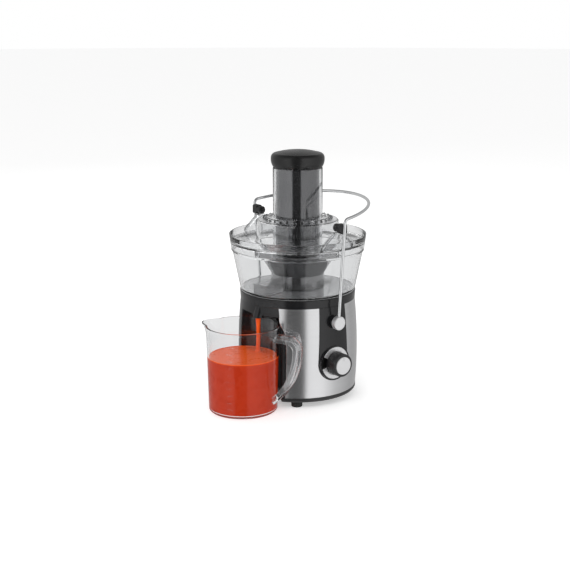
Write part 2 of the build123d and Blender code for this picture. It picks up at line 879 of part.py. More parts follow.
pivot_caps = {}
for name, side in (("front_pivot_cap", 1), ("rear_pivot_cap", -1)):
    with BuildPart() as pivot_caps[name]:
        round_bar(front_at_pivot, pivot_cap_radius, side * cap_back, side * cap_face)
        chamfer(pivot_caps[name].edges().sort_by(Axis.Y)[-1 if side < 0 else 0], length=1)
        round_bar(leg_plane(-side), wire_radius + slip, -0.5, 20, Mode.SUBTRACT)

roller_width = 9
roller_inner = roller_centre - roller_width / 2
roller_outer = roller_centre + roller_width / 2
axle_radius = 2.5
holder_width = 11
holder_height = 15
groove_start = 120
groove_end = 162
leg_at_roller = leg_foot + (leg_top - leg_foot) * (roller_height - front_foot.Z) / (
    bend_height - front_foot.Z
)

with BuildPart() as roller_holders:
    for side in (-1, 1):
        holder = Plane(origin=(0, 0, roller_height), x_dir=(1, 0, 0), z_dir=(0, side, 0))
        with BuildSketch(holder.offset(roller_outer + free_gap)) as clip:
            RectangleRounded(holder_width, holder_height, 3)
        extrude(clip.sketch, amount=leg_at_roller - 0.5 - roller_outer - free_gap)
        round_bar(holder, axle_radius, roller_inner - 1.2, roller_outer + 1)
    for side in (-1, 1):
        round_bar(leg_plane(side), wire_radius + slip, groove_start, groove_end, Mode.SUBTRACT)

rollers = {}
for name, side in (("front_roller", -1), ("rear_roller", 1)):
    with BuildPart() as rollers[name]:
        holder = Plane(origin=(0, 0, roller_height), x_dir=(1, 0, 0), z_dir=(0, side, 0))
        round_bar(holder, roller_radius, roller_inner, roller_outer)
        fillet(rollers[name].edges().filter_by(GeomType.CIRCLE), radius=1)
        round_bar(holder, axle_radius + running, roller_inner - 1, roller_outer + 1, Mode.SUBTRACT)

# Pusher: a smoky hollow plunger under a domed black cap that rests on the feed tube
cap_radius = 43
cap_rim_radius = 39
cap_bottom = tube_top + free_gap
cap_core_top = cap_bottom + 20
pusher_top = cap_bottom + 6
pusher_wall = 2.4
pusher_floor = pusher_bottom + 4
with BuildPart() as pusher_body:
    revolve(
        outline(
            (0, pusher_bottom),
            (pusher_radius - 2, pusher_bottom),
            (pusher_radius, pusher_bottom + 2),
            (pusher_radius, pusher_top),
            (pusher_radius - pusher_wall, pusher_top),
            (pusher_radius - pusher_wall, pusher_floor),
            (0, pusher_floor),
        ),
        axis=Axis.Z,
    )

with BuildPart() as pusher_cap:
    with BuildSketch(Plane.XZ):
        with BuildLine():
            Polyline((0, cap_core_top), (0, cap_top))
            ThreePointArc((0, cap_top), (20, cap_top - 1.2), (36, cap_top - 4.5))
            ThreePointArc((36, cap_top - 4.5), (41, cap_top - 7), (cap_radius, cap_top - 12))
            ThreePointArc((cap_radius, cap_top - 12), (cap_radius - 1, pusher_top), (cap_rim_radius, cap_bottom))
            Polyline(
                (cap_rim_radius, cap_bottom),
                (pusher_radius + slip, cap_bottom),
                (pusher_radius + slip, pusher_top + 0.2),
                (pusher_radius - 3, pusher_top + 0.2),
                (pusher_radius - 3, cap_core_top),
                (0, cap_core_top),
            )
        make_face()
    revolve(axis=Axis.Z)

# Knob: black body with a silver face, on a spindle that turns in the speed switch
knob_back = dial_face + 0.3
knob_front = knob_back + 19.5
grip_flutes = 24
face_radius = 14.3
face_top = knob_front + 1.2
mark_distance = 10.4
with BuildPart() as knob_body:
    round_bar(front_at_knob, knob_radius, knob_back, knob_front)
    fillet(knob_body.faces().sort_by(Axis.Y)[0].edges(), radius=2)
    with BuildSketch(front_at_knob.offset(knob_back)):
        with PolarLocations(knob_radius + 0.6, grip_flutes):
            Circle(1.1)
    extrude(amount=12, mode=Mode.SUBTRACT)
    round_bar(front_at_knob, face_radius + 0.2, knob_front - 1, knob_front, Mode.SUBTRACT)
    round_bar(front_at_knob, spindle_radius + pressed, knob_back, knob_back + 11, Mode.SUBTRACT)

with BuildPart() as knob_face:
    round_bar(front_at_knob, face_radius, knob_front - 1, face_top)
    chamfer(knob_face.faces().sort_by(Axis.Y)[0].edges(), length=0.6)
    with BuildSketch(front_at_knob.offset(face_top - 0.6)):
        with Locations((0, mark_distance)):
            SlotOverall(5, 1.6, rotation=90)
    extrude(amount=1, mode=Mode.SUBTRACT)

with BuildPart() as knob_spindle:
    round_bar(front_at_knob, spindle_radius, casing_inside + 2, knob_back + 10.5)

# Jug: tapered clear beaker with a pouring lip and a channel-shaped handle
jug_axis = Axis(tuple(jug_centre), (0, 0, 1))
handle_out = Vector(cos(radians(handle_angle)), sin(radians(handle_angle)), 0)
lip_out = Vector(cos(radians(lip_angle)), sin(radians(lip_angle)), 0)
handle_plane = Plane(origin=jug_centre, x_dir=handle_out, z_dir=handle_out.cross(Vector(0, 0, 1)))
lip_plane = Plane(origin=jug_centre, x_dir=lip_out, z_dir=(0, 0, 1))
lip_bottom = 104
lip_tip = 70
lip_root = 44
bead_bottom = jug_height - 3
bead_radius = jug_top_radius + 0.9


def jug_section(*points):
    """A closed half section of the jug, from (distance from its axis, height) points."""
    with BuildSketch(handle_plane) as section:
        with BuildLine():
            Polyline(*points, close=True)
        make_face()
    return section.sketch


def lip_wedge(inset, top, mode):
    """The pouring lip's wedge, widening upwards, moved in from its outer surface by inset."""
    with BuildSketch(lip_plane.offset(lip_bottom)) as low:
        Polygon((lip_root, -5), (lip_root + 10 - inset, 0), (lip_root, 5), align=None)
    with BuildSketch(lip_plane.offset(top)) as high:
        Polygon((lip_root, inset - 22), (lip_tip - inset * 1.5, 0), (lip_root, 22 - inset), align=None)
    loft([low.sketch.face(), high.sketch.face()], mode=mode)


with BuildPart() as jug:
    revolve(
        jug_section(
            (0, 0),
            (jug_bottom_radius - 3, 0),
            (jug_bottom_radius, 3),
            (jug_top_radius, bead_bottom - 1),
            (bead_radius, bead_bottom),
            (bead_radius, jug_height),
            (0, jug_height),
        ),
        axis=jug_axis,
    )
    lip_wedge(0, jug_height, Mode.ADD)
    with BuildLine(handle_plane) as handle_path:
        grip_top = Line((55, 122), (78, 122))
        grip_bend = TangentArc(grip_top @ 1, (94, 106), tangent=grip_top % 1)
        TangentArc(grip_bend @ 1, (53.5, 21), tangent=grip_bend % 1)
    with BuildSketch(Plane(origin=grip_top @ 0, x_dir=(0, 0, 1), z_dir=handle_out)):
        Rectangle(10, 18)
        with Locations((-1.6, 0)):
            Rectangle(7, 13, mode=Mode.SUBTRACT)
    sweep(path=handle_path.wires()[0])
    revolve(
        jug_section(
            (0, jug_floor),
            (jug_bottom_radius - jug_wall - 2, jug_floor),
            (jug_bottom_radius - jug_wall, jug_floor + 2),
            (jug_top_radius - jug_wall, jug_height + 1),
            (0, jug_height + 1),
        ),
        axis=jug_axis,
        mode=Mode.SUBTRACT,
    )
    lip_wedge(jug_wall, jug_height, Mode.SUBTRACT)

pieces = {
    "base_housing": base_housing,
    "jug_bay": jug_bay,
    "steel_front_plate": steel_front_plate,
    "control_panel": control_panel,
    "dial_ring": dial_ring,
    "top_deck": top_deck,
    "shaft_seal": shaft_seal,
    "base_plate": base_plate,
    "rubber_feet": rubber_feet,
    "base_plate_screws": base_plate_screws,
    "cord_inlet": cord_inlet,
    "spout_nozzle": spout_nozzle,
    "pulp_bowl": pulp_bowl,
    "juice_collector": juice_collector,
    "lid": lid,
    "feed_tube": feed_tube,
    "basket_frame": basket_frame,
    "filter_mesh": filter_mesh,
    "grater_disc": grater_disc,
    "drive_coupling": drive_coupling,
    "motor_shaft": motor_shaft,
    "armature_core": armature_core,
    "armature_windings": armature_windings,
    "commutator": commutator,
    "cooling_fan": cooling_fan,
    "stator_core": stator_core,
    "field_coils": field_coils,
    "upper_motor_bracket": upper_motor_bracket,
    "lower_motor_bracket": lower_motor_bracket,
    "upper_bearing": upper_bearing,
    "lower_bearing": lower_bearing,
    "motor_screws": motor_screws,
    "motor_mounts": motor_mounts,
    "mount_screws": mount_screws,
    "brush_holders": brush_holders,
    "carbon_brushes": carbon_brushes,
    "speed_switch": speed_switch,
    "safety_switch": safety_switch,
    "pivot_bushes": pivot_bushes,
    "pivot_pins": pivot_pins,
    "bail_wire": bail_wire,
    "front_pivot_cap": pivot_caps["front_pivot_cap"],
    "rear_pivot_cap": pivot_caps["rear_pivot_cap"],
    "roller_holders": roller_holders,
    "front_roller": rollers["front_roller"],
    "rear_roller": rollers["rear_roller"],
    "pusher_body": pusher_body,
    "pusher_cap": pusher_cap,
    "knob_body": knob_body,
    "knob_face": knob_face,
    "knob_spindle": knob_spindle,
    "jug": jug,
}

os.makedirs("parts", exist_ok=True)
for label, piece in pieces.items():
    piece.part.label = label
    export_step(piece.part, f"parts/{label}.step")
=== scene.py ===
# %% [markdown]
# # A centrifugal juicer
# The machine's sizes, joints and hidden works come from a imported CAD frame. This lesson gives it
# its looks. We load the frame first, because every piece takes its place from it.

import json
import math
import random

import bmesh
import bpy
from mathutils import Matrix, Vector


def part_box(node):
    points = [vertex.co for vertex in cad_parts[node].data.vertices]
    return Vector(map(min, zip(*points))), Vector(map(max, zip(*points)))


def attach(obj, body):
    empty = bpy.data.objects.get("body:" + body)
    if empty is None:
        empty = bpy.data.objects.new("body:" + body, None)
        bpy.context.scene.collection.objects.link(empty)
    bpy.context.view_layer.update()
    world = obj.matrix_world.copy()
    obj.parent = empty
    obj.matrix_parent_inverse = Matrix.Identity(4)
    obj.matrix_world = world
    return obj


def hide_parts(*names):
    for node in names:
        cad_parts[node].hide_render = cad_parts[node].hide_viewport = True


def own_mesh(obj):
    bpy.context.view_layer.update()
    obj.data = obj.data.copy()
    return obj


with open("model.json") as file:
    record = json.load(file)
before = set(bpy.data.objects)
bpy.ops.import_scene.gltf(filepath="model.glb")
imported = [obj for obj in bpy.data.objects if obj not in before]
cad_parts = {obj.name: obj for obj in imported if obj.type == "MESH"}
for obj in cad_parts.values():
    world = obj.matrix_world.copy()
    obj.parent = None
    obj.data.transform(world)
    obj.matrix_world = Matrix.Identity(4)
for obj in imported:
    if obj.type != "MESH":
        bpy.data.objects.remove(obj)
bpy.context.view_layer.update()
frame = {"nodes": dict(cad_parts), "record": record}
nodes = frame["nodes"]

# %% [markdown]
# ## Camera
# A product shot of a tall machine is taken from far away with a long lens, so that its upright
# sides stay nearly parallel. We stand a little to the left of the front, above table height, and
# aim at the middle of the motor body.

# %% Camera
camera_azimuth = math.radians(-37.0)
camera_distance = 1.929
camera_height = 0.639
aim = Vector((0, 0, 0.1804))

camera_data = bpy.data.cameras.new("camera")
camera_data.lens = 76.6
camera_data.sensor_width = 36
camera_data.shift_x = -0.0223
camera = bpy.data.objects.new("camera", camera_data)
bpy.context.scene.collection.objects.link(camera)
camera.location = (
    math.sin(camera_azimuth) * camera_distance,
    -math.cos(camera_azimuth) * camera_distance,
    camera_height,
)
camera.rotation_euler = (aim - camera.location).to_track_quat("-Z", "Y").to_euler()
bpy.context.scene.camera = camera
bpy.context.scene.view_settings.view_transform = "Standard"
print("camera at", [round(v, 3) for v in camera.location])

# %% [markdown]
# ## Helpers for building node trees
# A material is a small graph. Short functions keep the graphs readable: one makes a node and sets
# its values, one joins two sockets, one does a sum, and two make and place a shared group.


# %% Node helpers
def add_node(tree, kind, **values):
    node = tree.nodes.new(kind)
    for name, value in values.items():
        if hasattr(node, name):
            setattr(node, name, value)
        else:
            node.inputs[name.replace("_", " ")].default_value = value
    return node


def join(tree, output, target):
    tree.links.new(output, target)


def calculate(tree, operation, first, second):
    """A math node on two values, each a number or a socket. Returns its result's socket."""
    node = add_node(tree, "ShaderNodeMath", operation=operation)
    for value, target in zip((first, second), node.inputs):
        if isinstance(value, (int, float)):
            target.default_value = value
        else:
            join(tree, value, target)
    return node.outputs[0]


def shader_group(name, inputs, outputs):
    """An empty shader group with float inputs, given with their defaults, and float outputs."""
    group = bpy.data.node_groups.new(name, "ShaderNodeTree")
    for socket, value in inputs.items():
        made = group.interface.new_socket(
            name=socket, in_out="INPUT", socket_type="NodeSocketFloat",
        )
        made.default_value = value
    for socket in outputs:
        group.interface.new_socket(name=socket, in_out="OUTPUT", socket_type="NodeSocketFloat")
    return group, add_node(group, "NodeGroupInput"), add_node(group, "NodeGroupOutput")


def place_group(tree, group, **values):
    node = tree.nodes.new("ShaderNodeGroup")
    node.node_tree = group
    for name, value in values.items():
        node.inputs[name].default_value = value
    return node


# %% [markdown]
# ## Studio
# The machine stands on a plain pale floor in an even white room. What shapes the gloss and the
# steel is what they mirror: a dark stretch at the front left, between two bright ones. So the
# room has several faces: white for the eye, softer white for its light, and banded for what is
# mirrored or seen through a clear wall.

# %% Room light
def fill_ramp(ramp, stops):
    """Grey stops by compass bearing, from -180 degrees to 180, on a ramp that runs from 0 to 1."""
    while len(ramp.elements) > 1:
        ramp.elements.remove(ramp.elements[0])
    ramp.elements[0].position = 1.0
    for degrees, grey in stops[:-1]:
        ramp.elements.new((degrees + 180) / 360)
    for stop, (degrees, grey) in zip(ramp.elements, stops):
        stop.color = (grey, grey, grey, 1)


world = bpy.data.worlds.new("studio")
bpy.context.scene.world = world
world.use_nodes = True
world.cycles.sampling_method = "NONE"
room = world.node_tree
room.nodes.clear()
direction = add_node(room, "ShaderNodeTexCoord")
parts = add_node(room, "ShaderNodeSeparateXYZ")
join(room, direction.outputs["Generated"], parts.inputs[0])
forward = calculate(room, "MULTIPLY", parts.outputs["Y"], -1)
bearing = calculate(room, "ARCTAN2", parts.outputs["X"], forward)
turn = add_node(room, "ShaderNodeMapRange")
turn.inputs["From Min"].default_value = -math.pi
turn.inputs["From Max"].default_value = math.pi
join(room, bearing, turn.inputs["Value"])
bands = add_node(room, "ShaderNodeValToRGB")
join(room, turn.outputs[0], bands.inputs[0])
band_stops = [
    (-180, 0.50), (-115, 0.55), (-78, 0.95), (-66, 0.90), (-60, 0.10),
    (-24, 0.12), (-19, 1.0), (12, 1.0), (45, 0.62), (90, 0.42), (180, 0.50),
]
fill_ramp(bands.color_ramp, band_stops)
ceiling = add_node(room, "ShaderNodeMapRange", interpolation_type="SMOOTHSTEP")
ceiling.inputs["From Min"].default_value = 0.35
ceiling.inputs["From Max"].default_value = 0.95
ceiling.inputs["To Min"].default_value = 1
ceiling.inputs["To Max"].default_value = 0.35
join(room, parts.outputs["Z"], ceiling.inputs["Value"])
mirrored = add_node(room, "ShaderNodeBackground")
join(room, bands.outputs[0], mirrored.inputs["Color"])
join(room, ceiling.outputs[0], mirrored.inputs["Strength"])
plain = add_node(room, "ShaderNodeBackground", Color=(1, 1, 1, 1), Strength=1.0)
behind = add_node(room, "ShaderNodeValToRGB")
join(room, turn.outputs[0], behind.inputs[0])
behind_stops = [
    (-180, 0.86), (-130, 0.84), (-78, 0.9), (-66, 0.85), (-60, 0.06),
    (-24, 0.07), (-19, 0.7), (12, 0.75), (45, 0.7), (100, 0.84), (180, 0.86),
]
fill_ramp(behind.color_ramp, behind_stops)
seen_through = add_node(room, "ShaderNodeBackground", Strength=1.0)
join(room, behind.outputs[0], seen_through.inputs["Color"])
soft = add_node(room, "ShaderNodeBackground", Color=(1, 1, 1, 1), Strength=0.62)
rays = add_node(room, "ShaderNodeLightPath")
shown = soft
for kind, face in (
    ("Is Glossy Ray", mirrored),
    ("Is Transmission Ray", seen_through),
    ("Is Camera Ray", plain),
):
    choice = add_node(room, "ShaderNodeMixShader")
    join(room, rays.outputs[kind], choice.inputs[0])
    join(room, shown.outputs[0], choice.inputs[1])
    join(room, face.outputs[0], choice.inputs[2])
    shown = choice
sky = add_node(room, "ShaderNodeOutputWorld")
join(room, shown.outputs[0], sky.inputs["Surface"])


# %% Lamps
def softbox(name, location, target, size, power):
    data = bpy.data.lights.new(name, "AREA")
    data.shape = "RECTANGLE"
    data.size, data.size_y = size
    data.energy = power
    lamp = bpy.data.objects.new(name, data)
    bpy.context.scene.collection.objects.link(lamp)
    lamp.location = location
    lamp.rotation_euler = (Vector(target) - Vector(location)).to_track_quat("-Z", "Y").to_euler()
    lamp.visible_glossy = False


lit_point, box_size = (0, 0, 0.2), (1.2, 1.2)
softbox("key_light", (-1.6, -1.0, 1.9), lit_point, box_size, 16)
softbox("fill_light", (1.3, -1.6, 1.3), lit_point, box_size, 7)
softbox("back_light", (0.4, 1.7, 1.6), lit_point, box_size, 9)

# %% Floor
floor_mesh = bpy.data.meshes.new("floor")
floor_shape = bmesh.new()
bmesh.ops.create_circle(floor_shape, cap_ends=True, radius=14, segments=96)
floor_shape.to_mesh(floor_mesh)
floor_shape.free()
floor = bpy.data.objects.new("floor", floor_mesh)
bpy.context.scene.collection.objects.link(floor)
floor_paint = bpy.data.materials.new("pale_floor")
floor_paint.use_nodes = True
floor_shader = floor_paint.node_tree.nodes["Principled BSDF"]
floor_shader.inputs["Base Color"].default_value = (0.86, 0.86, 0.86, 1)
floor_shader.inputs["Roughness"].default_value = 0.9
floor_shader.inputs["Specular IOR Level"].default_value = 0.1
floor_shader.inputs["Emission Color"].default_value = (1, 1, 1, 1)
floor_shader.inputs["Emission Strength"].default_value = 0.42
floor_mesh.materials.append(floor_paint)
floor.visible_glossy = False
floor.visible_transmission = False
print("floor and room ready")

# %% [markdown]
# ## Shared surface effects
# Real parts are never one flat colour. Four small groups carry what many finishes have in common:
# the skin of moulded plastic, the rubbed look of edges, which the clear finishes use as painted
# shade that darkens their edges, the lines of brushed metal and the dust that settles on upward
# faces. Each is built once and placed in a material with its own values.

# %% Moulded skin
moulded_skin, skin_in, skin_out = shader_group(
    "moulded_skin", {"Scale": 400.0, "Cloud": 30.0}, ["Height", "Mottle"]
)
place = add_node(moulded_skin, "ShaderNodeTexCoord")
fine = add_node(moulded_skin, "ShaderNodeTexNoise", Detail=3.0, Roughness=0.55)
cloud = add_node(moulded_skin, "ShaderNodeTexNoise", Detail=4.0, Roughness=0.6)
for noise, socket in ((fine, "Scale"), (cloud, "Cloud")):
    join(moulded_skin, place.outputs["Object"], noise.inputs["Vector"])
    join(moulded_skin, skin_in.outputs[socket], noise.inputs["Scale"])
spread = add_node(moulded_skin, "ShaderNodeMapRange", From_Min=0.3, From_Max=0.7)
join(moulded_skin, cloud.outputs[0], spread.inputs["Value"])
join(moulded_skin, fine.outputs[0], skin_out.inputs["Height"])
join(moulded_skin, spread.outputs[0], skin_out.inputs["Mottle"])

# %% Edge wear and painted edge shade
# One edge mask for two uses: the solid finishes paint it paler as wear, the clear finishes paint it
# darker as painted shade.
edge_wear_and_shade, wear_and_shade_in, wear_and_shade_out = shader_group("edge_wear_and_shade", {"Amount": 0.5, "Grain": 180.0}, ["Mask"])
edge_wear_and_shade.interface.new_socket(name="Rounded", in_out="OUTPUT", socket_type="NodeSocketVector")
softened = add_node(edge_wear_and_shade, "ShaderNodeBevel", Radius=0.0008)
softened.samples = 4
flat_face = add_node(edge_wear_and_shade, "ShaderNodeNewGeometry")
likeness = add_node(edge_wear_and_shade, "ShaderNodeVectorMath", operation="DOT_PRODUCT")
join(edge_wear_and_shade, softened.outputs[0], likeness.inputs[0])
join(edge_wear_and_shade, flat_face.outputs["Normal"], likeness.inputs[1])
edge = add_node(edge_wear_and_shade, "ShaderNodeMapRange", From_Min=0.995, From_Max=0.86)
join(edge_wear_and_shade, likeness.outputs["Value"], edge.inputs["Value"])
place = add_node(edge_wear_and_shade, "ShaderNodeTexCoord")
patches = add_node(edge_wear_and_shade, "ShaderNodeTexNoise", Detail=4.0)
join(edge_wear_and_shade, place.outputs["Object"], patches.inputs["Vector"])
join(edge_wear_and_shade, wear_and_shade_in.outputs["Grain"], patches.inputs["Scale"])
patchy = add_node(edge_wear_and_shade, "ShaderNodeMapRange", From_Min=0.35, From_Max=0.65)
join(edge_wear_and_shade, patches.outputs[0], patchy.inputs["Value"])
rubbed_and_shaded = calculate(edge_wear_and_shade, "MULTIPLY", edge.outputs[0], patchy.outputs[0])
scaled = calculate(edge_wear_and_shade, "MULTIPLY", rubbed_and_shaded, wear_and_shade_in.outputs["Amount"])
join(edge_wear_and_shade, scaled, wear_and_shade_out.inputs["Mask"])
join(edge_wear_and_shade, softened.outputs[0], wear_and_shade_out.inputs["Rounded"])

# %% Brushed grain
# Squeezing the noise in height alone leaves long lines that run around the machine.
brushed_grain, grain_in, grain_out = shader_group(
    "brushed_grain", {"Along": 6.0, "Across": 1800.0}, ["Height", "Streak"]
)
place = add_node(brushed_grain, "ShaderNodeTexCoord")
squeeze = add_node(brushed_grain, "ShaderNodeCombineXYZ")
for axis, socket in (("X", "Along"), ("Y", "Along"), ("Z", "Across")):
    join(brushed_grain, grain_in.outputs[socket], squeeze.inputs[axis])
stretched = add_node(brushed_grain, "ShaderNodeVectorMath", operation="MULTIPLY")
join(brushed_grain, place.outputs["Object"], stretched.inputs[0])
join(brushed_grain, squeeze.outputs[0], stretched.inputs[1])
lines = add_node(brushed_grain, "ShaderNodeTexNoise", Scale=1.0, Detail=3.0, Roughness=0.7)
join(brushed_grain, stretched.outputs[0], lines.inputs["Vector"])
streak = add_node(brushed_grain, "ShaderNodeMapRange", From_Min=0.3, From_Max=0.7)
join(brushed_grain, lines.outputs[0], streak.inputs["Value"])
join(brushed_grain, lines.outputs[0], grain_out.inputs["Height"])
join(brushed_grain, streak.outputs[0], grain_out.inputs["Streak"])

# %% Settled dust
settled_dust, dust_in, dust_out = shader_group("settled_dust", {"Amount": 0.2}, ["Mask"])
facing = add_node(settled_dust, "ShaderNodeNewGeometry")
upward = add_node(settled_dust, "ShaderNodeSeparateXYZ")
join(settled_dust, facing.outputs["Normal"], upward.inputs[0])
level = add_node(settled_dust, "ShaderNodeMapRange", From_Min=0.55, From_Max=1.0)
join(settled_dust, upward.outputs["Z"], level.inputs["Value"])
place = add_node(settled_dust, "ShaderNodeTexCoord")
specks = add_node(settled_dust, "ShaderNodeTexNoise", Scale=260.0, Detail=5.0, Roughness=0.7)
join(settled_dust, place.outputs["Object"], specks.inputs["Vector"])
sparse = add_node(settled_dust, "ShaderNodeMapRange", From_Min=0.5, From_Max=0.75)
join(settled_dust, specks.outputs[0], sparse.inputs["Value"])
lying = calculate(settled_dust, "MULTIPLY", level.outputs[0], sparse.outputs[0])
scaled = calculate(settled_dust, "MULTIPLY", lying, dust_in.outputs["Amount"])
join(settled_dust, scaled, dust_out.inputs["Mask"])
print("shared effects:", [group.name for group in bpy.data.node_groups])

# %% [markdown]
# ## Solid finishes
# Plastic, metal and rubber differ in colour, gloss and metalness, and share the same build: a
# slightly clouded base colour, rubbed edges, a little dust, a roughness that wanders and a fine
# bump. One function makes them, and each call below sets one finish.

# %% Solid finish
dust_colour = (0.45, 0.43, 0.40)


def mix_colours(tree, mask, first, second):
    """A colour that goes from first to second with the mask. Each is a plain colour or a socket."""
    node = add_node(tree, "ShaderNodeMix", data_type="RGBA")
    join(tree, mask, node.inputs[0])
    for colour, target in ((first, node.inputs[6]), (second, node.inputs[7])):
        if isinstance(colour, tuple):
            target.default_value = (*colour, 1)
        else:
            join(tree, colour, target)
    return node.outputs[2]


def wander(tree, mask, low, high):
    node = add_node(tree, "ShaderNodeMapRange", To_Min=low, To_Max=high)
    join(tree, mask, node.inputs["Value"])
    return node.outputs[0]


def raise_bump(tree, shader, height, strength, distance, rounded=None):
    node = add_node(tree, "ShaderNodeBump", Strength=strength, Distance=distance)
    join(tree, height, node.inputs["Height"])
    if rounded:
        join(tree, rounded, node.inputs["Normal"])
    join(tree, node.outputs[0], shader.inputs["Normal"])


def solid_finish(
    name, colour, roughness, metallic=0.0, edge=None, mottle=0.12, skin=400.0, bump=0.05,
    wear=0.35, dust=0.15, brushed=None, coat=0.0,
):
    """A solid material. brushed gives (along, across) scales and swaps the moulded skin for it."""
    material = bpy.data.materials.new(name)
    material.use_nodes = True
    tree = material.node_tree
    shader = tree.nodes["Principled BSDF"]
    shader.inputs["Metallic"].default_value = metallic
    shader.inputs["Coat Weight"].default_value = coat
    shader.inputs["Coat Roughness"].default_value = 0.06
    if brushed:
        texture = place_group(tree, brushed_grain, Along=brushed[0], Across=brushed[1])
        cloudy = texture.outputs["Streak"]
    else:
        texture = place_group(tree, moulded_skin, Scale=skin)
        cloudy = texture.outputs["Mottle"]
    dark = tuple(c * (1 - mottle) for c in colour)
    light = tuple(min(1, c * (1 + mottle)) for c in colour)
    body = mix_colours(tree, cloudy, dark, light)
    worn_and_shaded_edges = place_group(tree, edge_wear_and_shade, Amount=wear)
    pale = edge or tuple(min(1, c * 1.6 + 0.03) for c in colour)
    body = mix_colours(tree, worn_and_shaded_edges.outputs["Mask"], body, pale)
    dusty = place_group(tree, settled_dust, Amount=dust)
    body = mix_colours(tree, dusty.outputs["Mask"], body, dust_colour)
    join(tree, body, shader.inputs["Base Color"])
    join(tree, wander(tree, cloudy, roughness * 0.85, roughness * 1.2), shader.inputs["Roughness"])
    raise_bump(tree, shader, texture.outputs["Height"], bump, 0.0004, worn_and_shaded_edges.outputs["Rounded"])
    return material


finishes = {
    "black_gloss_plastic": solid_finish(
        "black_gloss_plastic", (0.008, 0.008, 0.009), 0.16, skin=90.0, bump=0.02,
    ),
    "black_matte_plastic": solid_finish(
        "black_matte_plastic", (0.017, 0.017, 0.018), 0.42, skin=900.0, bump=0.25,
    ),
    "cap_plastic": solid_finish(
        "cap_plastic", (0.007, 0.007, 0.007), 0.27, skin=600.0, bump=0.1, dust=0.03,
    ),
    "brushed_steel": solid_finish(
        "brushed_steel", (0.72, 0.72, 0.73), 0.2, metallic=1.0, edge=(0.9, 0.9, 0.9), mottle=0.05,
        brushed=(6.0, 1800.0), bump=0.08, dust=0.05,
    ),
    "satin_silver": solid_finish(
        "satin_silver", (0.84, 0.84, 0.85), 0.3,
        metallic=0.75, edge=(0.95, 0.95, 0.95), mottle=0.03,
        skin=1500.0, bump=0.05, dust=0.05,
    ),
    "chrome_wire": solid_finish(
        "chrome_wire", (0.9, 0.91, 0.92), 0.06,
        metallic=1.0, mottle=0.04, skin=300.0, bump=0.02, dust=0.0,
    ),
    "stainless": solid_finish(
        "stainless", (0.5, 0.5, 0.51), 0.24,
        metallic=1.0, mottle=0.06, brushed=(8.0, 1500.0), bump=0.06,
    ),
    "basket_plastic": solid_finish(
        "basket_plastic", (0.16, 0.16, 0.165), 0.25, metallic=0.6, skin=500.0,
    ),
    "rubber": solid_finish("rubber", (0.012, 0.012, 0.012), 0.75, skin=1200.0, bump=0.3, wear=0.2),
    "laminated_iron": solid_finish(
        "laminated_iron", (0.22, 0.21, 0.2), 0.45, metallic=0.9, brushed=(3.0, 2400.0), bump=0.5,
    ),
    "copper_windings": solid_finish(
        "copper_windings", (0.62, 0.26, 0.12), 0.3,
        metallic=0.9, brushed=(5.0, 1600.0), bump=0.6, coat=0.5,
    ),
    "bracket_alloy": solid_finish(
        "bracket_alloy", (0.55, 0.55, 0.56), 0.42, metallic=0.9, skin=700.0, bump=0.2,
    ),
    "bearing_steel": solid_finish("bearing_steel", (0.6, 0.6, 0.62), 0.2, metallic=1.0),
    "screw_steel": solid_finish("screw_steel", (0.5, 0.5, 0.5), 0.3, metallic=1.0, wear=0.6),
    "carbon": solid_finish("carbon", (0.02, 0.02, 0.02), 0.55, skin=1500.0, bump=0.3),
}
print("solid finishes:", len(finishes))

# %% [markdown]
# ## See-through finishes
# The bowl, lid and jug are clear moulded plastic: walls with a real thickness, which bend light.
# Shadow and diffuse rays are let straight through, because light that is bent by a wall would
# take thousands of samples to reach what stands behind it. The pusher and the juice collector
# are smoky and show little of what is behind them, so they get dark, mirroring solid finishes.


# %% Clear finish
def clear_finish(name, tint, roughness, refraction=1.46):
    material = bpy.data.materials.new(name)
    material.use_nodes = True
    tree = material.node_tree
    shader = tree.nodes["Principled BSDF"]
    shader.inputs["Metallic"].default_value = 0.0
    shader.inputs["Transmission Weight"].default_value = 1.0
    shader.inputs["IOR"].default_value = refraction
    skin = place_group(tree, moulded_skin, Scale=60.0, Cloud=14.0)
    worn_and_shaded_edges = place_group(tree, edge_wear_and_shade, Amount=0.25)
    faint = tuple(c * 0.97 for c in tint)
    body = mix_colours(tree, skin.outputs["Mottle"], tint, faint)
    # Painted shade: the edge mask draws the clear wall darker along its edges, standing in for the
    # dark lines that clear rims show.
    body = mix_colours(tree, worn_and_shaded_edges.outputs["Mask"], body, tuple(c * 0.8 for c in tint))
    join(tree, body, shader.inputs["Base Color"])
    rough = wander(tree, skin.outputs["Mottle"], roughness * 0.5, roughness * 1.5)
    join(tree, rough, shader.inputs["Roughness"])
    raise_bump(tree, shader, skin.outputs["Height"], 0.02, 0.0005)
    straight = add_node(tree, "ShaderNodeBsdfTransparent", Color=(*tint, 1))
    ray = add_node(tree, "ShaderNodeLightPath")
    either = calculate(tree, "MAXIMUM", ray.outputs["Is Shadow Ray"], ray.outputs["Is Diffuse Ray"])
    choice = add_node(tree, "ShaderNodeMixShader")
    join(tree, either, choice.inputs[0])
    join(tree, shader.outputs[0], choice.inputs[1])
    join(tree, straight.outputs[0], choice.inputs[2])
    join(tree, choice.outputs[0], tree.nodes["Material Output"].inputs["Surface"])
    return material


